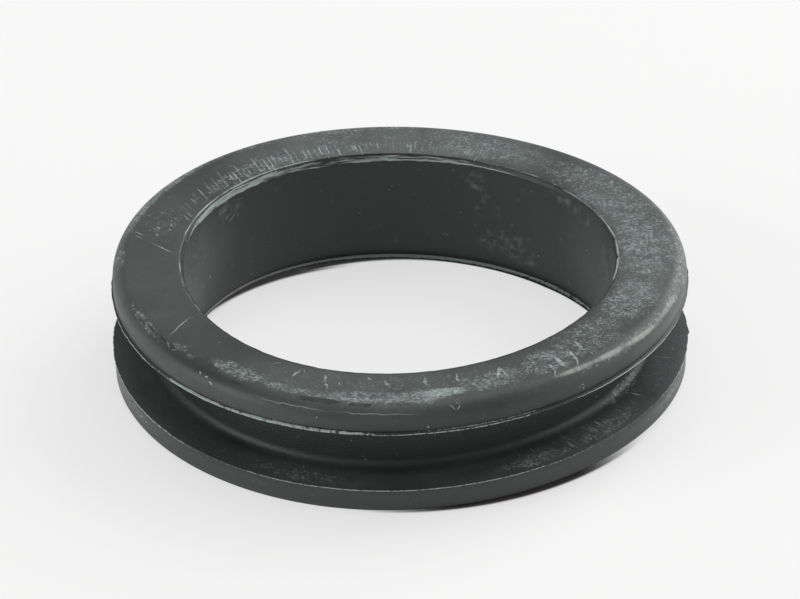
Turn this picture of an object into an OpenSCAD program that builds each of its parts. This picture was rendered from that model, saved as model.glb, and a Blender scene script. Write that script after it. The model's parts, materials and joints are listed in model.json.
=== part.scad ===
// Rubber grommet: a moulded ring with two lips, a groove between them that
// takes the edge of a panel hole, and a plain bore for a cable, hose or pipe.
// It lies flat on its lower lip, with the bore along Z and the origin at the
// middle of the foot. All sizes are in millimetres.

/* [Bore] */
// Diameter of the bore
bore_d = 45; // [6:0.2:120]
// How far the trimmed edges of the bore open out
bore_trim_w = 0.15; // [0.05:0.05:0.6]
// Height of the trimmed band below the upper edge of the bore
bore_trim_upper_h = 0.55; // [0.1:0.05:1.5]
// Height of the trimmed band above the lower edge of the bore
bore_trim_lower_h = 0.2; // [0.1:0.05:1.5]

/* [Panel groove] */
// Wall between the bore and the groove floor, which fills the panel hole
neck_wall = 2.9; // [1.2:0.1:8]
// Width of the groove, which takes the thickness of the panel
groove_w = 6.4; // [2:0.1:20]
// Fillet where the groove floor meets each lip
groove_fillet = 0.9; // [0.2:0.1:0.9]

/* [Upper lip] */
// How far the upper lip reaches out from the groove floor
upper_lip_reach = 4.4; // [2:0.1:12]
// Thickness of the upper lip
upper_lip_t = 3; // [1:0.1:8]
// Rounding of the upper lip's outer edge
upper_edge_r = 1.6; // [0.2:0.1:2.6]

/* [Lower lip] */
// How far the lower lip reaches out from the groove floor
lower_lip_reach = 4.4; // [2:0.1:12]
// Thickness of the lower lip
lower_lip_t = 3; // [1:0.1:8]
// How far the lower lip's outer face draws in towards the foot
lower_draft = 0.75; // [0.1:0.05:1.5]

/* [Mould flash] */
// How far the flash stands out from the groove side of each lip
flash_reach = 0.2; // [0.05:0.05:0.6]
// Thickness of the flash
flash_t = 0.2; // [0.05:0.05:0.4]

/* [Hidden] */
bore_r = bore_d / 2;
groove_r = bore_r + neck_wall;
height = lower_lip_t + groove_w + upper_lip_t;
rubber_grey = "#474a49";
$fn = 180;

// Patch between a square corner at the origin and the arc that rounds it.
// Added to an inner corner it is a fillet, and cut from an outer one a round.
module corner_patch(radius) {
    difference() {
        square(radius);
        translate([radius, radius]) circle(radius);
    }
}

// Steep triangle cut from a corner at the origin, wide along X and tall along Y.
module wedge_patch(wide, tall) {
    polygon([[0, 0], [wide, 0], [0, tall]]);
}

// One lip lying on the X axis, groove side up, with flash on its groove edge.
// The child is the patch cut from its outer edge, which ends below the flash.
module lip_section(reach, thickness) {
    lip_r = groove_r + reach;
    difference() {
        union() {
            translate([bore_r, 0]) square([lip_r - bore_r, thickness]);
            translate([bore_r, thickness - flash_t])
                square([lip_r + flash_reach - bore_r, flash_t]);
        }
        translate([lip_r, 0]) mirror([1, 0]) children();
    }
    translate([groove_r, thickness]) corner_patch(groove_fillet);
}

// Half of the ring's cross-section, X outward from the axis and Y up it.
module ring_section() {
    difference() {
        union() {
            translate([bore_r, 0]) square([neck_wall, height]);
            lip_section(lower_lip_reach, lower_lip_t)
                wedge_patch(lower_draft, lower_lip_t - flash_t);
            translate([0, height]) mirror([0, 1])
                lip_section(upper_lip_reach, upper_lip_t)
                    corner_patch(min(upper_edge_r, upper_lip_t - flash_t));
        }
        translate([bore_r, 0]) wedge_patch(bore_trim_w, bore_trim_lower_h);
        translate([bore_r, height]) mirror([0, 1])
            wedge_patch(bore_trim_w, bore_trim_upper_h);
    }
}

// The whole ring, moulded in one piece.
module grommet() {
    color(rubber_grey)
        rotate_extrude() ring_section();
}

grommet();
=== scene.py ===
"""Looks for a moulded rubber grommet: the ring with its ragged mould flash, its rubber, and the stage."""
import json
import math
from functools import reduce

import bmesh
import bpy
import numpy as np
from mathutils import Matrix, Vector, noise


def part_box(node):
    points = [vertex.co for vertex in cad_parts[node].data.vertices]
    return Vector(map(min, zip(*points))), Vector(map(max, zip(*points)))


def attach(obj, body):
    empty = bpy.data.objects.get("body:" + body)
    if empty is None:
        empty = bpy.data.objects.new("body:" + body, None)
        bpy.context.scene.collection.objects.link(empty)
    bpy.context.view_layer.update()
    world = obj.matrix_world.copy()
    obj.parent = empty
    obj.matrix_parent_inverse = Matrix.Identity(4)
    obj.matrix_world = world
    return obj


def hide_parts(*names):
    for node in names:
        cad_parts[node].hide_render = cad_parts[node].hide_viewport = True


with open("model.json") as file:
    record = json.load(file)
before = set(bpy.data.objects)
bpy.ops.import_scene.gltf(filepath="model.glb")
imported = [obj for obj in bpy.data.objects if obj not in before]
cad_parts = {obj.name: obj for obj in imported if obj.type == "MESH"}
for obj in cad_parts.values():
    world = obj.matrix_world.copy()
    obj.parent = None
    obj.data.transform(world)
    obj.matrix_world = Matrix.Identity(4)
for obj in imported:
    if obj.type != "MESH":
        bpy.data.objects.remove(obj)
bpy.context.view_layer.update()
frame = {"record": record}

bl_info = {
    "name": "Moulded rubber grommet",
    "version": (1, 0, 0),
    "blender": (4, 5, 0),
    "location": "View3D > Sidebar > Grommet",
    "description": "Moulds a panel grommet with flash and talc bloom, and lays it on pale paper",
    "category": "Object",
}

MM = 0.001
RING_LOW, RING_HIGH = (Vector(corner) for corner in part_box("grommet"))
BORE = next(mount for mount in frame["record"]["mounts"] if mount["name"] == "bore")
SKIN_R = 26.0          # mm, radius at which the skin is rolled out for its patterns
PHOTO_WIDTH = 800      # px, width of the image that the camera frames


def linear(hex_colour):
    """Linear RGBA of an sRGB hex colour."""
    channels = [int(hex_colour[i:i + 2], 16) / 255 for i in (1, 3, 5)]
    return [c / 12.92 if c <= 0.04045 else ((c + 0.055) / 1.055) ** 2.4 for c in channels] + [1.0]


def length(name, description, metres):
    """A setting that holds a length."""
    return bpy.props.FloatProperty(
        name=name, description=description, default=metres, unit="LENGTH", precision=5)


def angle(name, description, degrees):
    """A setting that holds an angle."""
    return bpy.props.FloatProperty(
        name=name, description=description, default=math.radians(degrees), unit="ROTATION")


def colour(name, description, hex_colour):
    """A setting that holds a colour."""
    return bpy.props.FloatVectorProperty(
        name=name, description=description, default=linear(hex_colour), subtype="COLOR", size=4)


class RingSizes(bpy.types.PropertyGroup):
    """Sizes of the moulded ring."""
    bore_r: length("Bore radius", "Radius of the plain bore", BORE["dims"]["r_mm"] * MM)
    height: length("Height", "Height of the ring over both lips", RING_HIGH.z - RING_LOW.z)
    flash_r: length("Radius over the flash", "Radius of the lips with their flash", RING_HIGH.x)
    flash_reach: length("Flash reach", "How far the flash stands out from the lips", 0.2 * MM)
    neck_wall: length("Neck wall", "Wall between the bore and the floor of the groove", 2.9 * MM)
    lip_t: length("Lip thickness", "Thickness of each lip", 3.0 * MM)
    groove_fillet: length("Groove fillet", "Fillet between the groove floor and each lip", 0.9 * MM)
    upper_edge_r: length("Upper edge", "Rounding of the upper lip's outer edge", 1.6 * MM)
    lower_draft: length("Lower draft", "How far the lower lip's outer face draws in to the foot", 0.75 * MM)
    warp: length("Warp", "Half of the lift where the limp ring stands off the paper", 0.43 * MM)
    warp_turn: angle("Warp direction", "Direction in which the ring lifts most", -26.5)


class RubberLook(bpy.types.PropertyGroup):
    """Colours of the rubber and of what lies on it."""
    rubber: colour("Rubber", "Rubber that is a little faded", "#2b2f2e")
    # Painted shade: a darker rubber colour laid in the groove, where shade falls.
    clean: colour("Clean rubber", "Rubber in the groove, where no bloom forms", "#1f2322")
    # Bloom colour; on the shoulders at the left and right it is partly painted highlight.
    film_and_highlight: colour("Film", "Thin bloom that greys the outside", "#5a605f")
    talc: colour("Talc", "Talc from the mould, rubbed into the skin", "#a8b2b0")
    # Torn flash colour, also laid as painted highlight on the bead at the bore's foot and on the right
    # shoulder.
    torn_and_highlight: colour("Torn flash", "Torn and stretched edges of the flash", "#a3adab")
    # Partly a waxy streak and partly a painted highlight along the right front shoulder's edge.
    streak_and_highlight: colour("Streak", "Waxy streak along the shoulder", "#a8aaa5")


class StageLook(bpy.types.PropertyGroup):
    """The paper, the light and the camera."""
    paper: colour("Paper", "Matt paper under the ring", "#f4f4f3")
    # Painted shadow: colour of the paper where it shows under the lifted lip.
    gap: colour("Gap", "Paper in the dark gap under the lifted lip", "#6f696b")
    distance: length("Camera distance", "From the camera to the middle of the picture", 0.8)
    elevation: angle("Camera elevation", "How steeply the camera looks down", 30.35)
    roll: angle("Camera roll", "How far the camera is tipped to its right", 0.82)
    aim: bpy.props.FloatVectorProperty(
        name="Aim", description="Point at the middle of the picture",
        default=(0.0, 0.83 * MM, 7.42 * MM), subtype="XYZ", unit="LENGTH", precision=5)
    focal_px: bpy.props.FloatProperty(
        name="Focal length", description="Focal length in pixels of the picture", default=7681.0)


# Small forms on the section: steps out and up in mm from the edge that carries them, and rounding.
LOWER_BEAD = ((-0.16, 0.02, 0), (-0.16, 0.11, 0), (0.04, 0.14, 0), (0, 0.26, 0))
UPPER_RIM = ((0, -0.9, 0), (-0.1, -0.8, 0), (0.1, -0.06, 0.04), (0.22, -0.34, 0), (0.36, 0, 0.05))
UPPER_FIN_ROOT = ((0, 0.46, 0), (-0.07, 0.32, 0))
UPPER_FIN_TIP = ((0, 0.2, 0), (0, 0.04, 0))
UPPER_FIN_UNDERSIDE = ((0.05, 0, 0),)
LOWER_FIN_TIP = ((0, -0.03, 0), (0, -0.15, 0))
LOWER_FIN_ROOT = ((-0.08, -0.24, 0), (-0.05, -0.38, 0))
FOOT_START = 0.6        # mm, from the groove floor out to the first corner, in the middle of the foot
FOOT_END = 0.62         # mm, from the groove floor out to the last corner, just short of the first
FOOT_BACK = 0.12        # mm, how far the foot's inner edge stays back from the bore
FOOT_EDGE_R = 0.1       # mm, rounding of the foot's outer edge


def edge_form(radius, height, steps):
    """Corners of a small form, from the place of the edge that carries it and its steps from there."""
    return [(radius + out, height + up, rounding) for out, up, rounding in steps]


def section_corners(sizes):
    """Corners of the half-section in mm, as radius, height and rounding, from the middle of the foot
    in to the bore, up it, out over the upper lip, and back down by the groove and the lower lip."""
    bore, top = sizes.bore_r / MM, sizes.height / MM
    groove = bore + sizes.neck_wall / MM
    tip = sizes.flash_r / MM
    lip = tip - sizes.flash_reach / MM
    lower = sizes.lip_t / MM
    upper = top - lower
    fillet = sizes.groove_fillet / MM
    return [
        (groove + FOOT_START, 0, 0),
        (bore + FOOT_BACK, 0, 0),
        *edge_form(bore, 0, LOWER_BEAD),
        *edge_form(bore, top, UPPER_RIM),
        (lip, top, sizes.upper_edge_r / MM),
        *edge_form(lip, upper, UPPER_FIN_ROOT),
        *edge_form(tip, upper, UPPER_FIN_TIP),
        *edge_form(lip, upper, UPPER_FIN_UNDERSIDE),
        (groove, upper, fillet),
        (groove, lower, fillet),
        (lip, lower, 0),
        *edge_form(tip, lower, LOWER_FIN_TIP),
        *edge_form(lip, lower, LOWER_FIN_ROOT),
        (lip - sizes.lower_draft / MM, 0, FOOT_EDGE_R),
        (groove + FOOT_END, 0, 0),
    ]


ARC_STEP = 0.2          # mm, length of a chord on the rounded corners
FLAT_STEP = 1.2         # mm, longest edge on the flat stretches
AROUND = 1000           # steps round the ring
MERGE = MM / 1000       # points closer than this become one
FIND = MM / 100         # how close a point lies to the corner that it was drawn for
ON_TOP = 1e-4           # mm, how far below the top a point of the top face may lie
SMOOTH_BELOW = 40       # degrees, edges that turn more than this stay sharp


def draw_section(corners):
    """Draw the half-section corner by corner in the XZ plane, then round its corners."""
    bpy.ops.object.select_all(action="DESELECT")
    first = corners[0]
    bpy.ops.mesh.primitive_plane_add(size=MM, location=(first[0] * MM, 0, first[1] * MM))
    ring = bpy.context.object
    bpy.ops.object.transform_apply(location=True, rotation=True, scale=True)
    bpy.ops.object.mode_set(mode="EDIT")
    bpy.ops.mesh.select_all(action="SELECT")
    bpy.ops.mesh.merge(type="CENTER")
    for here, there in zip(corners, corners[1:] + corners[:1]):
        step = ((there[0] - here[0]) * MM, 0, (there[1] - here[1]) * MM)
        bpy.ops.mesh.extrude_vertices_move(TRANSFORM_OT_translate={"value": step})
    bpy.ops.mesh.select_all(action="SELECT")
    bpy.ops.mesh.remove_doubles(threshold=MERGE)
    for radius, height, rounding in corners:
        if rounding:
            place = Vector((radius * MM, 0, height * MM))
            select(ring, "verts", lambda vert: (vert.co - place).length < FIND)
            bpy.ops.mesh.bevel(
                offset=rounding * MM, offset_type="OFFSET", affect="VERTICES", profile=0.5,
                segments=max(2, round(rounding * math.pi / 2 / ARC_STEP)), clamp_overlap=False)
    bpy.ops.mesh.select_mode(type="EDGE")
    while select(ring, "edges", lambda edge: edge.calc_length() > FLAT_STEP * MM):
        bpy.ops.mesh.subdivide(number_cuts=1)
    bpy.ops.mesh.select_mode(type="VERT")
    return ring


def select(piece, kind, wanted):
    """Select in edit mode the vertices or edges that are wanted, and count them."""
    bpy.ops.mesh.select_all(action="DESELECT")
    edited = bmesh.from_edit_mesh(piece.data)
    chosen = [part for part in getattr(edited, kind) if wanted(part)]
    for part in chosen:
        part.select = True
    bmesh.update_edit_mesh(piece.data)
    return len(chosen)


def walk_section(ring, corners, sizes):
    """Radius, height and place across the skin, in mm, of each point of the drawn section. The place
    is counted from the inner edge of the top face, outward over the lip and inward down the bore."""
    edited = bmesh.from_edit_mesh(ring.data)
    start = Vector((corners[0][0] * MM, 0, corners[0][1] * MM))
    here = min(edited.verts, key=lambda vert: (vert.co - start).length)
    edge = max(here.link_edges, key=lambda link: link.calc_length())
    first, path, walked = here, [], 0.0
    while True:
        path.append((here.co.x / MM, here.co.z / MM, walked))
        walked += edge.calc_length() / MM
        here = edge.other_vert(here)
        if here == first:
            break
        edge = next(link for link in here.link_edges if link != edge)
    path = np.array(path)
    on_top = path[:, 1] > sizes.height / MM - ON_TOP
    path[:, 2] -= path[on_top, 2].min()
    return path


def revolve(ring):
    """Turn the section into the closed ring."""
    bpy.ops.object.mode_set(mode="OBJECT")
    screw = ring.modifiers.new("revolve", "SCREW")
    screw.steps = screw.render_steps = AROUND
    screw.use_merge_vertices = True
    screw.merge_threshold = MERGE
    bpy.ops.object.modifier_apply(modifier=screw.name)
    bpy.ops.object.mode_set(mode="EDIT")
    bpy.ops.mesh.select_all(action="SELECT")
    bpy.ops.mesh.remove_doubles(threshold=MERGE)
    bpy.ops.mesh.normals_make_consistent(inside=False)
    bpy.ops.object.mode_set(mode="OBJECT")
    bpy.ops.object.shade_smooth_by_angle(angle=math.radians(SMOOTH_BELOW))


def around_noise(per_mm, seed):
    """Smooth noise between about -1 and 1, with one value for each step round the ring."""
    turns = np.arange(AROUND) * math.tau / AROUND
    spread = SKIN_R * per_mm
    return np.array([noise.noise(Vector((spread * math.cos(t), spread * math.sin(t), seed)))
                     for t in turns])


def near_angle(degrees, half):
    """Bump from 0 to 1 round the ring, centred at an angle in degrees and gone at half a width from it."""
    turns = np.arange(AROUND) * 360 / AROUND
    apart = np.abs((turns - degrees + 180) % 360 - 180)
    return np.clip(1 - apart / half, 0, 1)


def over_side(degrees, half):
    """Plateau of 1 over a side of the ring, round an angle in degrees, gone at half a width from it."""
    return np.clip(2 * near_angle(degrees, half), 0, 1)


# Bands of the skin that carry the small forms: from and to, in mm across it.
UPPER_FIN_BAND = (8.9, 9.7)
LOWER_FIN_BAND = (23.9, 24.8)
RIM_BAND = (-1.5, -0.5)
CREVICE_BAND = (-0.45, -0.25)
RIM_FOOT_BAND = (-1.7, -1.3)
BEAD_BAND = (-13.3, -13.0)
LOWER_FACE_FROM = 24.5      # mm, place across the skin where the lower lip's outer face starts


def within(across, band):
    """Which points lie in a band of the skin."""
    return (across > band[0]) & (across < band[1])


FLASH_MEAN = 0.85           # mean reach of the flash, as a share of its drawn reach
FLASH_LEAST = 0.3           # least share
FLASH_MOST = 1.2            # greatest share before the teeth
TEETH_RAISED = 0.1          # added to the noise of the teeth, so that a little over half of it shows
LEFT_TEETH = 0.6            # length of the teeth at the left, as a share of those at the right


def ragged_reach(seed):
    """How far the flash reaches at each step round the ring, as a share of its drawn reach."""
    slow = 0.3 * around_noise(per_mm=0.25, seed=seed)
    fast = 0.25 * around_noise(per_mm=1.6, seed=seed + 7)
    return np.clip(FLASH_MEAN + slow + fast, FLASH_LEAST, FLASH_MOST)


def tear_flash(radius, across, step, lip):
    """Tear the flash of both lips, with teeth on the lower one at the left and right."""
    teeth = np.clip(around_noise(per_mm=1.9, seed=3.0) + TEETH_RAISED, 0, None)
    torn_sides = np.maximum(
        LEFT_TEETH * near_angle(degrees=180, half=14), near_angle(degrees=1, half=11))
    lower_reach = ragged_reach(seed=11.0) + torn_sides * teeth
    for reach, band in ((ragged_reach(seed=5.0), UPPER_FIN_BAND), (lower_reach, LOWER_FIN_BAND)):
        over = within(across, band) & (radius > lip)
        radius[over] = lip + (radius[over] - lip) * reach[step[over]]


RIM_SWAY = 0.05             # mm, how far the rim wanders in and out
RIM_CHIP = 0.2              # mm, depth of the chip in the rim at the right
CREVICE_FILL = 0.3          # mm, how much shallower the crevice is away from the back
RIM_FOOT_LIFT = 0.3         # mm, how much higher the rim's foot lies at the back right
RIM_FOOT_SWAY = 0.09        # mm, how far the rim's foot wanders up and down
BEAD_REACH = 0.5            # mm, how much further the bead stands into the bore at the back


def roughen_bore(radius, height, across, step):
    """Make the rim, its foot and its crevice at the bore's upper edge uneven, and the lower bead."""
    rim = within(across, RIM_BAND)
    sway = RIM_SWAY * around_noise(per_mm=0.8, seed=17.0)
    chip = RIM_CHIP * near_angle(degrees=-1, half=1.6)
    radius[rim] += (sway + chip)[step[rim]]
    crevice = within(across, CREVICE_BAND)
    filled = CREVICE_FILL * (1 - over_side(degrees=95, half=85))
    height[crevice] += filled[step[crevice]]
    rim_foot = within(across, RIM_FOOT_BAND)
    lifted = RIM_FOOT_LIFT * over_side(degrees=35, half=70)
    wander = RIM_FOOT_SWAY * around_noise(per_mm=1.1, seed=23.0)
    height[rim_foot] += (lifted + wander)[step[rim_foot]]
    bead = within(across, BEAD_BAND)
    longer = BEAD_REACH * over_side(degrees=75, half=60)
    radius[bead] -= longer[step[bead]]


STEEPER_SIDES = 0.7         # mm, how much less the lower lip draws in at the left and right
SIDE_POWER = 4              # how closely that keeps to the left and right
FOOT_EDGE_WIDTH = 0.3       # mm, how much of the foot moves with its outer edge


def steepen_sides(radius, height, turn, across, foot_r, lip_t):
    """Let the lower lip's outer face draw in less at the left and right."""
    face = (across > LOWER_FACE_FROM) & (radius > foot_r - FOOT_EDGE_WIDTH)
    below = np.clip(1 - height / lip_t, 0, 1)
    sideways = np.cos(turn) ** SIDE_POWER
    radius[face] += (STEEPER_SIDES * sideways * below)[face]


def shape_ring(ring, section, sizes):
    """Store where each point lies on the skin, shape the small forms, and lift the limp ring off the
    paper."""
    mesh = ring.data
    points = np.empty(len(mesh.vertices) * 3)
    mesh.vertices.foreach_get("co", points)
    points = points.reshape(-1, 3)
    radius = np.hypot(points[:, 0], points[:, 1]) / MM
    height = points[:, 2] / MM
    turn = np.arctan2(points[:, 1], points[:, 0])
    apart = np.hypot(radius[:, None] - section[:, 0], height[:, None] - section[:, 1])
    across = section[apart.argmin(axis=1), 2]
    skin = np.stack([SKIN_R * np.cos(turn), SKIN_R * np.sin(turn), across], axis=1)
    mesh.attributes.new("skin", "FLOAT_VECTOR", "POINT").data.foreach_set("vector", skin.ravel())

    step = np.rint(turn / math.tau * AROUND).astype(int) % AROUND
    lip = (sizes.flash_r - sizes.flash_reach) / MM
    tear_flash(radius, across, step, lip)
    roughen_bore(radius, height, across, step)
    steepen_sides(radius, height, turn, across, lip - sizes.lower_draft / MM, sizes.lip_t / MM)
    height += sizes.warp / MM * (1 + np.cos(2 * (turn - sizes.warp_turn)))
    points = np.stack([radius * np.cos(turn), radius * np.sin(turn), height], axis=1) * MM
    mesh.vertices.foreach_set("co", points.ravel())
    mesh.update()


class GROMMET_OT_ring(bpy.types.Operator):
    """Mould the ring with its flash, lay it limp on the paper and give it its rubber"""
    bl_idname = "grommet.ring"
    bl_label = "Mould the ring"

    def execute(self, context):
        sizes = context.scene.grommet_ring
        corners = section_corners(sizes)
        ring = draw_section(corners)
        section = walk_section(ring, corners, sizes)
        revolve(ring)
        ring.name = ring.data.name = "moulded_ring"
        shape_ring(ring, section, sizes)
        ring.data.materials.append(moulded_rubber(context.scene.grommet_rubber))
        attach(ring, "root")
        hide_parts("grommet")
        return {"FINISHED"}


def add_node(tree, kind, settings=None, inputs=None):
    """Add a shader node with its settings, link or set its inputs, and give back its outputs."""
    made = tree.nodes.new("ShaderNode" + kind)
    for name, value in (settings or {}).items():
        *path, last = name.split(".")
        setattr(reduce(getattr, path, made), last, value)
    for key, value in (inputs or {}).items():
        if isinstance(value, bpy.types.NodeSocket):
            tree.links.new(value, made.inputs[key])
        else:
            made.inputs[key].default_value = value
    return made.outputs


def new_material(name):
    """An empty node material and its tree."""
    material = bpy.data.materials.new(name)
    material.use_nodes = True
    material.node_tree.nodes.clear()
    return material, material.node_tree


# Patches on the skin: angle in degrees, place across in mm, half angle in degrees, half width in mm,
# cover.
# The patches at 150, 180 and -5 degrees, 6.4 to 7.6 mm across, are partly painted highlight on the
# shoulders; the rest is bloom.
FILM_AND_HIGHLIGHT_PATCHES = (
    (90, 3.0, 75, 7.0, 0.92), (10, 4.0, 70, 8.0, 0.80), (-45, 3.5, 55, 6.0, 0.42),
    (-95, 3.0, 60, 6.0, 0.62), (180, 3.0, 85, 7.0, 0.43), (150, 6.4, 50, 1.8, 0.80),
    (180, 7.0, 55, 1.8, 0.60), (-5, 7.6, 45, 2.4, 0.92), (-130, 8.0, 45, 1.8, 0.35),
    (-112, 22.5, 36, 3.0, 0.52), (-70, 22.5, 40, 3.0, 0.45), (-48, 22.5, 34, 3.0, 0.66),
    (-155, 22.5, 40, 3.4, 0.55), (-5, 22.5, 40, 3.0, 0.62), (-95, 26.0, 85, 2.6, 0.12),
    (0, 26.0, 50, 2.6, 0.65), (180, 26.0, 50, 2.6, 0.50))
BORE_FILM = ((168, -6.0, 34, 8.0, 0.52), (15, -6.0, 30, 8.0, 0.28))
BORE_BLOTCHES = (
    (60, -9.8, 10, 2.8, 0.50), (54, -10.8, 7, 1.8, 0.52), (69, -2.8, 5, 2.0, 0.50),
    (65, -5.5, 7, 2.4, 0.34), (143, -2.6, 9, 1.8, 0.50), (33, -2.3, 18, 1.5, 0.46),
    (10, -5.5, 16, 5.5, 0.36))
TALC_PATCHES = (
    (-127, 4.3, 12, 1.8, 0.46), (-113, 4.7, 13, 1.1, 0.48), (-98, 4.6, 16, 2.0, 0.45),
    (-97, 5.1, 14, 0.8, 0.60), (-86, 4.6, 11, 1.8, 0.56), (-81, 4.2, 8, 1.3, 0.76),
    (-69, 3.5, 13, 2.8, 0.46), (-55, 3.2, 11, 3.4, 0.46), (-143, 5.2, 3, 0.9, 0.44),
    (-138.5, 5.4, 2, 0.6, 0.50), (-155, 5.9, 14, 0.8, 0.40), (178, 6.2, 8, 0.9, 0.48),
    (150, 6.0, 30, 1.2, 0.52), (163, 2.8, 11, 2.8, 0.26), (128, 1.3, 34, 2.2, 0.38),
    (105, 5.5, 35, 1.2, 0.40), (70, 3.0, 24, 4.0, 0.38), (32, 2.8, 34, 4.6, 0.40),
    (5, 2.8, 30, 4.8, 0.46), (-22, 2.6, 17, 4.2, 0.48), (-42, 2.8, 18, 4.2, 0.42),
    (5, 2.6, 60, 5.0, 0.32), (0, 6.6, 42, 1.4, 0.46), (-36, 6.5, 24, 0.8, 0.40),
    (-62, 22.8, 14, 1.5, 0.42), (-42, 22.6, 14, 1.7, 0.46), (-28, 20.0, 12, 1.2, 0.42),
    (-112, 22.6, 18, 1.8, 0.34), (-12, 25.8, 26, 1.3, 0.40), (-165, 25.8, 24, 1.3, 0.38),
    (62, -10.2, 8, 1.8, 0.14), (170, -6.0, 26, 7.0, 0.18), (90, 3.0, 90, 4.5, 0.24),
    (-90, 3.0, 60, 4.5, 0.22))
# Bare rubber: rubbed smears at the front, and from -147 to -128 degrees a darker line along the crease at
# the top face's outer edge, which is painted shade.
WIPED_AND_CREASE_SHADE_PATCHES = (
    (-107, 5.75, 8, 0.55, 0.85), (-98, 5.85, 4, 0.5, 0.80), (-90, 5.75, 4, 0.4, 0.65),
    (-135.5, 5.5, 6, 0.8, 0.80), (-128, 6.0, 9, 0.4, 0.70), (-147, 5.75, 10, 0.35, 0.70))
COMB_PATCHES = ((-50, 22.0, 24, 2.2, 0.40), (-20, 22.0, 18, 2.2, 0.30))
# Torn flash on the fins; the rows at -12.98 mm across lie on the bead at the bore's foot, partly torn flash
# and partly painted highlight on its up-facing ledge.
TORN_AND_HIGHLIGHT_PATCHES = (
    (-112, 9.2, 26, 0.40, 0.62), (-135, 9.22, 15, 0.34, 0.68), (-80, 9.35, 28, 0.18, 0.62),
    (-74, 8.98, 18, 0.10, 0.58), (-35, 9.33, 26, 0.18, 1.0), (-165, 9.35, 30, 0.20, 0.75),
    (-148, 24.6, 24, 0.45, 0.42), (-90, 24.28, 80, 0.11, 0.62), (178, 24.28, 60, 0.2, 1.0),
    (0, 24.28, 45, 0.16, 0.75), (85, -12.98, 80, 0.17, 0.95), (140, -12.98, 50, 0.19, 1.15),
    (-140, -12.98, 60, 0.18, 1.0), (30, -12.98, 60, 0.15, 0.65))
RIM_PATCHES = (
    (138, -1.0, 46, 0.6, 0.92), (142, -0.60, 42, 0.13, 1.15), (140, -0.04, 46, 0.16, 0.95),
    (20, -0.35, 40, 0.42, 0.85), (-4, -0.55, 16, 0.50, 1.05), (85, -1.3, 52, 0.26, 0.88),
    (88, -1.0, 42, 0.5, 0.70), (60, -0.04, 40, 0.14, 0.55), (-170, -0.3, 30, 0.4, 0.6))
# Rows of scuffs: pitch in mm, shortest and longest half length in mm, then the patches where they show.
SCUFF_ROWS = (
    (0.66, 0.6, 1.9, ((130, 1.9, 32, 4.6, 0.95),)),
    (0.42, 0.5, 1.5, ((107, 1.5, 13, 4.0, 1.0), (90, 1.5, 14, 4.0, 0.6), (70, 1.6, 12, 4.0, 0.4))))
# Strokes on the skin: angle in degrees and place across in mm of both ends, width in mm, strength.
# Along the right front shoulder's edge: partly a waxy streak, partly a painted highlight.
STREAKS_AND_HIGHLIGHT = (
    (-59, 6.0, -45, 6.26, 0.75, 0.9), (-50, 6.15, -37, 6.52, 0.80, 1.0),
    (-42, 6.34, -25, 6.95, 0.80, 1.0), (-30, 6.75, -12, 6.6, 0.75, 0.6))
SMUDGES = (
    (-109.2, 0.4, -107.4, 2.4, 0.55, 0.75), (-108.0, 2.0, -105.9, 3.9, 0.50, 0.65),
    (-98.8, 0.5, -96.2, 1.2, 0.50, 0.60), (-94.2, 0.8, -92.0, 3.2, 0.50, 0.60),
    (-84.6, 0.3, -84.0, 3.0, 0.55, 0.65), (-76.5, 0.5, -76.9, 3.0, 0.50, 0.70),
    (-65.2, 1.0, -68.9, 4.0, 0.60, 0.75), (-66.0, 1.2, -66.2, 4.4, 0.50, 0.75),
    (-58.0, 0.8, -58.6, 4.2, 0.50, 0.60), (-52.8, 2.4, -54.2, 5.8, 0.70, 0.85),
    (-48.6, 2.6, -51.0, 5.8, 0.60, 0.85), (-55.6, 3.2, -56.8, 6.0, 0.50, 0.75),
    (-44.5, 1.2, -46.8, 4.5, 0.50, 0.60), (-116.2, 3.0, -115.0, 0.4, 0.45, 0.60))
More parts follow.
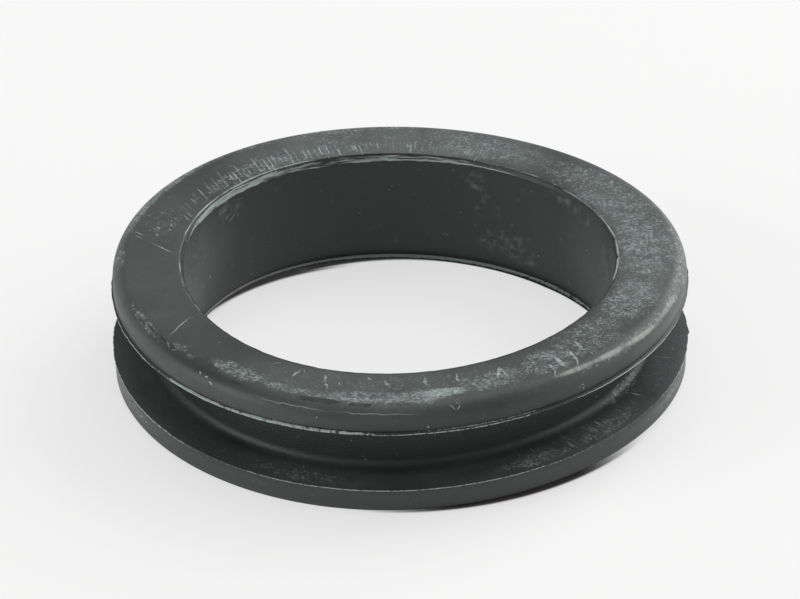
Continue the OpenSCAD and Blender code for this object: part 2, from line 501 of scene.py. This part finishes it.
# Scratches, and three painted highlight lines along the right shoulder (the rows at -14, -26 and -6
# degrees).
SCRATCHES_AND_HIGHLIGHTS = (
    (-122, 6.77, -103, 6.83, 0.15, 0.55), (-106, 6.82, -84, 6.92, 0.15, 0.50),
    (-153.5, 0.5, -147.2, 5.5, 0.16, 1.0), (-147.2, 5.5, -143.7, 6.2, 0.12, 0.6),
    (-143.7, 6.2, -142.9, 5.7, 0.12, 0.6), (172.1, 3.3, 177.3, 0.1, 0.18, 1.0),
    (167.9, 5.5, 169.8, 3.9, 0.14, 0.9), (169.6, 5.3, 171.1, 3.9, 0.14, 0.9),
    (-123.4, 1.4, -120.7, 0.2, 0.12, 0.8), (-115.9, 2.7, -115.1, 0.4, 0.14, 0.6),
    (-115.1, 0.4, -113.6, 1.4, 0.14, 0.6), (-104.8, 1.9, -103.9, 2.5, 0.16, 1.0),
    (-48.9, 3.3, -50.2, 5.0, 0.18, 0.9), (-50.2, 4.8, -51.7, 6.0, 0.18, 0.9),
    (-52.9, 3.0, -54.1, 4.6, 0.22, 0.9), (-54.1, 4.4, -53.4, 5.8, 0.18, 0.7),
    (-55.9, 4.8, -57.4, 6.2, 0.20, 0.8), (-45.9, 1.3, -46.1, 2.0, 0.18, 0.7),
    (-46.0, 4.7, -46.8, 5.5, 0.18, 0.6), (-53.3, 2.1, -53.4, 3.8, 0.18, 0.6),
    (-80.8, 6.2, -79.2, 6.9, 0.14, 0.7), (-79.2, 6.9, -78.0, 6.5, 0.14, 0.9),
    (-78.0, 6.5, -79.4, 6.0, 0.14, 0.6), (-52.6, 8.4, -52.2, 7.8, 0.12, 0.6),
    (-52.2, 7.8, -51.4, 8.1, 0.12, 0.6), (-51.4, 8.1, -51.9, 8.6, 0.12, 0.6),
    (158.2, 1.5, 160.3, 0.1, 0.16, 0.9), (156.1, 1.4, 158.9, 0.1, 0.14, 0.8),
    (163.2, 1.9, 164.0, 1.6, 0.24, 1.0), (161.4, 2.2, 162.3, 2.0, 0.20, 0.9),
    (165.5, 1.9, 166.4, 1.5, 0.20, 0.8), (165.0, 3.2, 166.3, 2.8, 0.24, 0.9),
    (168.4, 3.0, 169.2, 2.7, 0.26, 1.0), (160.2, 2.0, 161.0, 1.7, 0.16, 0.7),
    (143.3, -4.4, 139.7, -3.5, 0.22, 0.5), (144.4, -3.8, 142.2, -3.1, 0.24, 0.5),
    (147.5, -2.9, 142.5, -2.3, 0.30, 0.3), (139.3, -4.2, 138.6, -3.6, 0.18, 0.4),
    (-134.4, 6.45, -133.4, 6.6, 0.24, 1.0), (-132.6, 6.6, -131.8, 6.75, 0.26, 1.0),
    # Painted highlight lines along the right shoulder's edge.
    (-14, 7.3, 6, 7.5, 0.14, 0.45), (-26, 7.9, -3, 8.15, 0.12, 0.45), (-6, 6.7, 14, 6.85, 0.12, 0.4),
    (-131.4, 6.9, -130.2, 7.2, 0.24, 1.0), (-85.3, 8.3, -84.9, 8.6, 0.18, 0.9))


MASK_DEPTH = 1.5 * SKIN_R   # mm, half depth of a mask, which keeps it off the far side of the ring
PATCH_SOFT = 0.6            # share of a patch's reach over which it fades
STROKE_SOFT = 0.7           # share of a stroke's reach over which it fades
GRAIN_SPREAD = (0.3, 0.7)   # values between which most noise lies before it is stretched


def laid_on_skin(tree, skin, degrees, across, halves, tilt=0.0, strength=1.0, soft=PATCH_SOFT):
    """Elliptical mask laid on the skin at an angle round the ring and a place across it in mm, with
    its halves along and across, a tilt between the two, and a soft edge."""
    turn = math.radians(degrees)
    out = Vector((math.cos(turn), math.sin(turn), 0))
    up = Vector((0, 0, 1))
    along = up.cross(out) * math.cos(tilt) + up * math.sin(tilt)
    axes = Matrix((along, out, along.cross(out))).transposed()
    fade = add_node(tree, "TexGradient", {
        "gradient_type": "SPHERICAL", "texture_mapping.vector_type": "TEXTURE",
        "texture_mapping.translation": SKIN_R * out + across * up,
        "texture_mapping.rotation": axes.to_euler(),
        "texture_mapping.scale": (halves[0], MASK_DEPTH, halves[1])}, {"Vector": skin})["Fac"]
    return add_node(tree, "MapRange", {"interpolation_type": "SMOOTHSTEP"}, {
        "Value": fade, "From Min": 0.0, "From Max": soft, "To Max": strength})[0]


def joined(tree, operation, masks):
    """Several masks joined into one by a maths operation, each as soon as it is made."""
    return reduce(
        lambda total, mask: add_node(tree, "Math", {"operation": operation}, {0: total, 1: mask})[0], masks)


def cover(tree, skin, patches):
    """How much the patches cover the skin."""
    return joined(tree, "MAXIMUM", (
        laid_on_skin(tree, skin, degrees, across, (SKIN_R * math.sin(math.radians(half)), half_across),
                     strength=amount)
        for degrees, across, half, half_across, amount in patches))


def stroke(tree, skin, from_deg, from_across, to_deg, to_across, width, strength):
    """Thin stroke between two places on the skin."""
    along = math.radians(to_deg - from_deg) * SKIN_R
    rise = to_across - from_across
    return laid_on_skin(
        tree, skin, (from_deg + to_deg) / 2, (from_across + to_across) / 2,
        (math.hypot(along, rise) / 2, width / 2), tilt=math.atan2(rise, along), strength=strength,
        soft=STROKE_SOFT)


def strokes(tree, skin, ends):
    """Thin strokes, each between two places on the skin."""
    return joined(tree, "MAXIMUM", (stroke(tree, skin, *pair) for pair in ends))


def grain(tree, vector, per_mm, **inputs):
    """Noise with so many grains a millimetre along each axis of the vector, stretched to fill 0 to 1."""
    scaled = add_node(tree, "VectorMath", {"operation": "MULTIPLY"}, {0: vector, 1: per_mm})
    rough = add_node(tree, "TexNoise", None, {"Vector": scaled[0], "Scale": 1.0, **inputs})[0]
    return add_node(tree, "MapRange", None, {
        "Value": rough, "From Min": GRAIN_SPREAD[0], "From Max": GRAIN_SPREAD[1]})[0]


def stands_out(tree, height, raised, low, high):
    """Mask of the grain that stands above a threshold once a cover has raised it."""
    total = add_node(tree, "Math", {"operation": "ADD"}, {0: height, 1: raised})[0]
    return add_node(tree, "MapRange", {"interpolation_type": "SMOOTHSTEP"}, {
        "Value": total, "From Min": low, "From Max": high})[0]


LEAN_FROM = math.radians(105)       # angle round the ring where the scuffs start to lean
LEAN_TO = math.radians(157)         # angle where they lean most
LEAN_MOST = 0.8                     # mm along the ring for each mm across it, where they lean most
SCUFF_SPOTS = (0.25, 0.75)          # where in its step of the row a scuff lies
SCUFF_HALF = (0.04, 0.12)           # mm, from a scuff's middle line to the start and the end of its fade
SCUFF_MIDDLES = (0.7, 2.2)          # mm, where across the skin the middles of the scuffs lie
SCUFF_FADE = 0.5                    # mm, over which a scuff fades at each end
SCUFF_CHANCES = (0.15, 0.8)         # chance up to which a scuff is missing, and from which it is full


def scuffs(tree, skin, pitch, shortest, longest, patches):
    """Row of short scuffs across the top face, each with its own place, length and strength."""
    spot = add_node(tree, "SeparateXYZ", None, {0: skin})
    turn = add_node(tree, "Math", {"operation": "ARCTAN2"}, {0: spot["Y"], 1: spot["X"]})[0]
    lean = add_node(tree, "MapRange", None, {
        "Value": turn, "From Min": LEAN_FROM, "From Max": LEAN_TO, "To Max": LEAN_MOST})[0]
    leant = add_node(tree, "Math", {"operation": "MULTIPLY"}, {0: lean, 1: spot["Z"]})[0]
    along = add_node(tree, "Math", {"operation": "MULTIPLY_ADD"}, {0: turn, 1: SKIN_R, 2: leant})[0]
    row = add_node(tree, "Math", {"operation": "DIVIDE"}, {0: along, 1: pitch})[0]
    number = add_node(tree, "Math", {"operation": "FLOOR"}, {0: row})[0]
    chance = add_node(tree, "TexWhiteNoise", {"noise_dimensions": "1D"}, {"W": number})
    own = add_node(tree, "SeparateColor", None, {0: chance["Color"]})
    middle = add_node(tree, "MapRange", None, {
        "Value": own["Red"], "To Min": SCUFF_SPOTS[0], "To Max": SCUFF_SPOTS[1]})[0]
    across = add_node(tree, "Math", {"operation": "FRACT"}, {0: row})[0]
    aside = add_node(tree, "Math", {"operation": "SUBTRACT"}, {0: across, 1: middle})[0]
    aside = add_node(tree, "Math", {"operation": "ABSOLUTE"}, {0: aside})[0]
    thin = add_node(tree, "MapRange", {"interpolation_type": "SMOOTHSTEP"}, {
        "Value": aside, "From Min": SCUFF_HALF[1] / pitch, "From Max": SCUFF_HALF[0] / pitch})[0]
    centre = add_node(tree, "MapRange", None, {
        "Value": own["Green"], "To Min": SCUFF_MIDDLES[0], "To Max": SCUFF_MIDDLES[1]})[0]
    half = add_node(tree, "MapRange", None, {
        "Value": own["Blue"], "To Min": shortest, "To Max": longest})[0]
    beyond = add_node(tree, "Math", {"operation": "SUBTRACT"}, {0: spot["Z"], 1: centre})[0]
    beyond = add_node(tree, "Math", {"operation": "ABSOLUTE"}, {0: beyond})[0]
    inside = add_node(tree, "Math", {"operation": "SUBTRACT"}, {0: half, 1: beyond})[0]
    short = add_node(tree, "MapRange", {"interpolation_type": "SMOOTHSTEP"}, {
        "Value": inside, "From Min": 0.0, "From Max": SCUFF_FADE})[0]
    strong = add_node(tree, "MapRange", None, {
        "Value": chance["Value"], "From Min": SCUFF_CHANCES[0], "From Max": SCUFF_CHANCES[1]})[0]
    return joined(tree, "MULTIPLY", (thin, short, strong, cover(tree, skin, patches)))


DUST_PER_MM = 0.6       # cells a millimetre
DUST_BARE = 0.5         # share of the cells that hold no speck
DUST_REACH = 0.10       # radius of the largest speck, as a share of a cell
DUST_FADE = 0.05        # share of a cell over which a speck fades
DUST_STRENGTH = 0.7


def dust(tree, place):
    """Sparse specks of dust, with one speck in some of the cells of a loose pattern."""
    cells = add_node(tree, "TexVoronoi", None, {"Vector": place, "Scale": DUST_PER_MM})
    kept = add_node(tree, "SeparateColor", None, {0: cells["Color"]})
    reach = add_node(tree, "MapRange", None, {
        "Value": kept["Red"], "From Min": DUST_BARE, "From Max": 1.0, "To Max": DUST_REACH})[0]
    inside = add_node(tree, "Math", {"operation": "SUBTRACT"}, {0: reach, 1: cells["Distance"]})[0]
    return add_node(tree, "MapRange", {"interpolation_type": "SMOOTHSTEP"}, {
        "Value": inside, "From Min": 0.0, "From Max": DUST_FADE, "To Max": DUST_STRENGTH})[0]


NOISE_MIDDLE = (0.5, 0.5, 0.5)
STROKE_SWAY = 0.6       # mm, how far the strokes may wander
SCUFF_SWAY = 0.25       # mm, how far the scuffs may wander
MOTTLE_IN_GRIT = 0.35   # share of the mottle in the grit, the rest of which is speckle
GRIT_IN_HAZE = 0.5      # share of the grit in the haze, the rest of which is clouds
FILM_FROM = -0.15       # mm across the skin, where the film of the outside starts
GROOVE_MIDDLE = 15.5    # mm across the skin, at the middle of the painted shade in the groove
GROOVE_HALF = 4.2       # mm, half width of the painted shade
GROOVE_FADE = 1.0       # mm, over which it fades on each side of its edge


def moulded_rubber(look):
    """Compression-moulded black rubber: matt and dark, greyed by bloom, with talc rubbed into the skin,
    pale torn flash, and the scuffs and scratches of handling. Shade in the groove and some highlights on
    the shoulder and the bead are painted into its colour."""
    material, tree = new_material("moulded_black_rubber")
    skin = add_node(tree, "Attribute", {"attribute_name": "skin"})["Vector"]
    place = add_node(tree, "VectorMath", {"operation": "SCALE"}, {
        0: add_node(tree, "TexCoord")["Object"], "Scale": 1 / MM})[0]
    sway = add_node(tree, "TexNoise", None, {"Vector": place, "Scale": 0.9, "Detail": 2.0})["Color"]
    sway = add_node(tree, "VectorMath", {"operation": "SUBTRACT"}, {0: sway, 1: NOISE_MIDDLE})[0]
    swayed, nudged = (
        add_node(tree, "VectorMath", {"operation": "MULTIPLY_ADD"}, {
            0: sway, 1: (reach, reach, reach), 2: skin})[0] for reach in (STROKE_SWAY, SCUFF_SWAY))

    speckle = grain(tree, place, per_mm=(3.4, 3.4, 3.4), Detail=3.0, Roughness=0.7)
    mottle = grain(tree, place, per_mm=(0.9, 0.9, 0.9), Detail=4.0, Roughness=0.65)
    clouds = grain(tree, place, per_mm=(0.25, 0.25, 0.25), Detail=3.0, Roughness=0.6)
    comb = grain(tree, skin, per_mm=(3.0, 3.0, 0.4), Detail=3.0, Roughness=0.6)
    lengthwise = grain(tree, skin, per_mm=(0.35, 0.35, 5.0), Detail=4.0, Roughness=0.6)
    grit = add_node(tree, "Mix", None, {0: MOTTLE_IN_GRIT, 2: speckle, 3: mottle})[0]
    haze = add_node(tree, "Mix", None, {0: GRIT_IN_HAZE, 2: clouds, 3: grit})[0]
    uneven = add_node(tree, "MapRange", None, {"Value": haze, "To Min": 0.55, "To Max": 1.45})[0]
    cracks = add_node(tree, "MapRange", None, {"Value": comb, "To Min": 0.45})[0]
    worn = add_node(tree, "MapRange", None, {
        "Value": grit, "From Min": 0.2, "From Max": 0.7, "To Min": 0.3, "To Max": 1.1})[0]
    across = add_node(tree, "SeparateXYZ", None, {0: skin})["Z"]
    outside = add_node(tree, "MapRange", None, {
        "Value": across, "From Min": FILM_FROM, "From Max": 0.0})[0]
    from_groove = add_node(tree, "Math", {"operation": "SUBTRACT"}, {0: across, 1: GROOVE_MIDDLE})[0]
    from_groove = add_node(tree, "Math", {"operation": "ABSOLUTE"}, {0: from_groove})[0]
    groove_shade_mask = add_node(tree, "MapRange", {"interpolation_type": "SMOOTHSTEP"}, {
        "Value": from_groove, "From Min": GROOVE_HALF + GROOVE_FADE,
        "From Max": GROOVE_HALF - GROOVE_FADE})[0]
    film_and_highlight = joined(tree, "MAXIMUM", (
        joined(tree, "MULTIPLY", (outside, cover(tree, skin, FILM_AND_HIGHLIGHT_PATCHES))),
        cover(tree, skin, BORE_FILM)))
    scuffed = joined(tree, "MAXIMUM", (scuffs(tree, nudged, *row) for row in SCUFF_ROWS))
    layers = (
        # Painted shade: darker rubber in the groove.
        (groove_shade_mask, look.clean),
        # Bloom, and partly painted highlight on the shoulders.
        (joined(tree, "MULTIPLY", (uneven, film_and_highlight)), look.film_and_highlight),
        (stands_out(tree, mottle, cover(tree, skin, BORE_BLOTCHES), low=0.78, high=1.60), look.film_and_highlight),
        (stands_out(tree, grit, cover(tree, skin, TALC_PATCHES), low=0.76, high=1.55), look.talc),
        # Bare rubber: rubbed smears, and painted shade along the crease at the left front.
        (stands_out(tree, mottle, cover(tree, skin, WIPED_AND_CREASE_SHADE_PATCHES), low=0.92, high=1.36), look.rubber),
        (stands_out(tree, comb, cover(tree, skin, COMB_PATCHES), low=1.00, high=1.45), look.talc),
        (joined(tree, "MULTIPLY", (worn, scuffed)), look.talc),
        (stands_out(tree, lengthwise, cover(tree, skin, RIM_PATCHES), low=0.95, high=1.55), look.torn_and_highlight),
        # Waxy streak and painted highlight along the shoulder.
        (joined(tree, "MULTIPLY", (cracks, strokes(tree, skin, STREAKS_AND_HIGHLIGHT))), look.streak_and_highlight),
        (stands_out(tree, grit, cover(tree, skin, TORN_AND_HIGHLIGHT_PATCHES), low=0.88, high=1.10), look.torn_and_highlight),
        (stands_out(tree, grit, strokes(tree, swayed, SMUDGES), low=0.76, high=1.55), look.talc),
        (strokes(tree, swayed, SCRATCHES_AND_HIGHLIGHTS), look.torn_and_highlight),
        (dust(tree, place), look.torn_and_highlight),
    )
    tone = look.rubber
    for mask, laid in layers:
        tone = add_node(tree, "Mix", {"data_type": "RGBA"}, {0: mask, 6: tone, 7: laid})[2]
    fine = grain(tree, place, per_mm=(4.0, 4.0, 4.0), Detail=2.0)
    bump = add_node(tree, "Bump", None, {"Height": fine, "Strength": 0.4, "Distance": 0.04 * MM})[0]
    shader = add_node(tree, "BsdfPrincipled", None, {
        "Base Color": tone, "Roughness": 0.5, "IOR": 1.5, "Normal": bump})
    add_node(tree, "OutputMaterial", None, {"Surface": shader[0]})
    return material


# Sides where painted shadow darkens the paper under the lifted lip: angle of its middle, half angle, half
# angle of the part that is darkest, all in degrees, how dark it is, and how far the dark is shifted in mm.
PAINTED_GAP_SHADOW_SIDES = (
    (-66, 36, 14, 1.0, (0.0, 0.0)), (85, 45, 30, 0.965, (0.0, -0.55)),
    (137, 36, 17, 0.965, (-1.75, -1.6)))
GAP_EDGE = (-0.3 * MM, 0.25 * MM)   # from the bore's radius to where the dark starts and where it is full
FOOT_EDGE = (0.4 * MM, -0.05 * MM)  # from the foot's radius to where the dark ends and where it is full
PAPER_SIZE = 4.0                    # metres
PAPER_GLOW = 0.61                   # share of the lit paper's look that glows and takes no shadow


def painted_gap_shadow_side(tree, place, bore_r, degrees, half, darkest, strength, shift):
    """Mask of one side of the ring where painted shadow darkens the paper beyond the bore's edge."""
    turn = math.radians(degrees)
    way = add_node(tree, "VectorMath", {"operation": "NORMALIZE"}, {0: place})[0]
    facing = add_node(tree, "VectorMath", {"operation": "DOT_PRODUCT"}, {
        0: way, 1: (math.cos(turn), math.sin(turn), 0)})["Value"]
    side = add_node(tree, "MapRange", {"interpolation_type": "SMOOTHSTEP"}, {
        "Value": facing, "From Min": math.cos(math.radians(half)),
        "From Max": math.cos(math.radians(darkest)), "To Max": strength})[0]
    from_middle = add_node(tree, "VectorMath", {"operation": "DISTANCE"}, {
        0: place, 1: (shift[0] * MM, shift[1] * MM, 0)})["Value"]
    beyond = add_node(tree, "MapRange", {"interpolation_type": "SMOOTHSTEP"}, {
        "Value": from_middle, "From Min": bore_r + GAP_EDGE[0], "From Max": bore_r + GAP_EDGE[1]})[0]
    return joined(tree, "MULTIPLY", (side, beyond))


def lay_paper(look, sizes):
    """Lay the sheet of pale paper: bright to the eye, with part of the ring's soft shadow on it, and with
    painted shadow under the foot, where the paper shows below the lifted lip."""
    bpy.ops.object.select_all(action="DESELECT")
    bpy.ops.mesh.primitive_plane_add(size=PAPER_SIZE)
    paper = bpy.context.object
    paper.name = "paper"
    material, tree = new_material("matt_paper")
    foot_r = sizes.flash_r - sizes.flash_reach - sizes.lower_draft
    place = add_node(tree, "TexCoord")["Object"]
    from_axis = add_node(tree, "VectorMath", {"operation": "LENGTH"}, {0: place})["Value"]
    under = add_node(tree, "MapRange", {"interpolation_type": "SMOOTHSTEP"}, {
        "Value": from_axis, "From Min": foot_r + FOOT_EDGE[0], "From Max": foot_r + FOOT_EDGE[1]})[0]
    sides = joined(tree, "MAXIMUM", (painted_gap_shadow_side(tree, place, sizes.bore_r, *side) for side in PAINTED_GAP_SHADOW_SIDES))
    # Painted shadow on the paper under the lifted lip, on the sides listed above.
    dark = joined(tree, "MULTIPLY", (under, sides))
    lit = add_node(tree, "Math", {"operation": "SUBTRACT"}, {0: 1.0, 1: dark})[0]
    tone = add_node(tree, "Mix", {"data_type": "RGBA"}, {0: lit, 6: look.gap, 7: look.paper})[2]
    matt = add_node(tree, "BsdfDiffuse", None, {"Color": tone})
    glow = add_node(tree, "Emission", None, {"Color": linear("#ffffff"), "Strength": 1.0})
    seen = add_node(tree, "LightPath")
    share = joined(tree, "MAXIMUM", (
        seen["Is Camera Ray"], seen["Is Glossy Ray"], seen["Is Transmission Ray"]))
    glowing = add_node(tree, "Math", {"operation": "MULTIPLY"}, {0: lit, 1: PAPER_GLOW})[0]
    glowing = add_node(tree, "Math", {"operation": "MULTIPLY"}, {0: share, 1: glowing})[0]
    shader = add_node(tree, "MixShader", None, {0: glowing, 1: matt[0], 2: glow[0]})
    add_node(tree, "OutputMaterial", None, {"Surface": shader[0]})
    paper.data.materials.append(material)


# Soft boxes: name, azimuth and elevation in degrees, distance and size in metres, watts.
LAMPS = (
    ("right_box", 40, 33, 1.0, 0.8, 6.0),
    ("left_box", 200, 18, 1.0, 0.6, 4.0),
    ("right_low_box", -8, 15, 1.0, 0.5, 2.0),
    ("top_box", 90, 80, 1.0, 0.7, 1.8))
ROOM_LIGHT = 0.34       # strength of the even light of the room
CAMERA_REACH = 10.0     # metres, how far the camera sees


def hang_lamps():
    """Hang the soft boxes round the ring and even out the room's light."""
    for name, azimuth, elevation, distance, size, watts in LAMPS:
        turn, rise = math.radians(azimuth), math.radians(elevation)
        place = distance * Vector((math.cos(turn) * math.cos(rise), math.sin(turn) * math.cos(rise),
                                   math.sin(rise)))
        bpy.ops.object.light_add(type="AREA", location=place)
        lamp = bpy.context.object
        lamp.name = name
        lamp.rotation_euler = (-place).to_track_quat("-Z", "Y").to_euler()
        lamp.data.size = size
        lamp.data.energy = watts
    world = bpy.data.worlds.new("pale_room")
    bpy.context.scene.world = world
    world.use_nodes = True
    background = world.node_tree.nodes["Background"]
    background.inputs["Color"].default_value = linear("#ffffff")
    background.inputs["Strength"].default_value = ROOM_LIGHT


def set_camera(look):
    """Set the camera at the photograph's viewing angle."""
    aim = Vector(look.aim)
    back = Vector((0, -math.cos(look.elevation), math.sin(look.elevation)))
    bpy.ops.object.camera_add()
    camera = bpy.context.object
    turned = (-back).to_track_quat("-Z", "Y").to_matrix().to_4x4()
    camera.matrix_world = (Matrix.Translation(aim + back * look.distance) @ turned
                           @ Matrix.Rotation(-look.roll, 4, "Z"))
    camera.data.sensor_fit = "HORIZONTAL"
    camera.data.lens = look.focal_px / PHOTO_WIDTH * camera.data.sensor_width
    camera.data.clip_end = CAMERA_REACH
    bpy.context.scene.camera = camera


class GROMMET_OT_stage(bpy.types.Operator):
    """Lay the paper, hang the lamps and set the camera"""
    bl_idname = "grommet.stage"
    bl_label = "Set the stage"

    def execute(self, context):
        lay_paper(context.scene.grommet_stage, context.scene.grommet_ring)
        hang_lamps()
        set_camera(context.scene.grommet_stage)
        context.scene.view_settings.view_transform = "Standard"
        return {"FINISHED"}


class GROMMET_PT_panel(bpy.types.Panel):
    """Sidebar panel with the steps and their settings"""
    bl_idname = "GROMMET_PT_panel"
    bl_label = "Grommet"
    bl_space_type = "VIEW_3D"
    bl_region_type = "UI"
    bl_category = "Grommet"

    def draw(self, context):
        scene = context.scene
        for step, groups in ((GROMMET_OT_ring, (scene.grommet_ring, scene.grommet_rubber)),
                             (GROMMET_OT_stage, (scene.grommet_stage,))):
            box = self.layout.box()
            box.operator(step.bl_idname)
            for group in groups:
                for name in group.__annotations__:
                    box.prop(group, name)


CLASSES = (RingSizes, RubberLook, StageLook, GROMMET_OT_ring, GROMMET_OT_stage, GROMMET_PT_panel)


def register():
    """Register the classes and hang their settings on the scene."""
    for cls in CLASSES:
        bpy.utils.register_class(cls)
    bpy.types.Scene.grommet_ring = bpy.props.PointerProperty(type=RingSizes)
    bpy.types.Scene.grommet_rubber = bpy.props.PointerProperty(type=RubberLook)
    bpy.types.Scene.grommet_stage = bpy.props.PointerProperty(type=StageLook)


def unregister():
    """Take the settings off the scene and unregister the classes."""
    del bpy.types.Scene.grommet_stage
    del bpy.types.Scene.grommet_rubber
    del bpy.types.Scene.grommet_ring
    for cls in reversed(CLASSES):
        bpy.utils.unregister_class(cls)


def main():
    """Register the steps, then make the ring and the stage."""
    register()
    bpy.ops.grommet.ring()
    bpy.ops.grommet.stage()


if __name__ == "__main__":
    main()
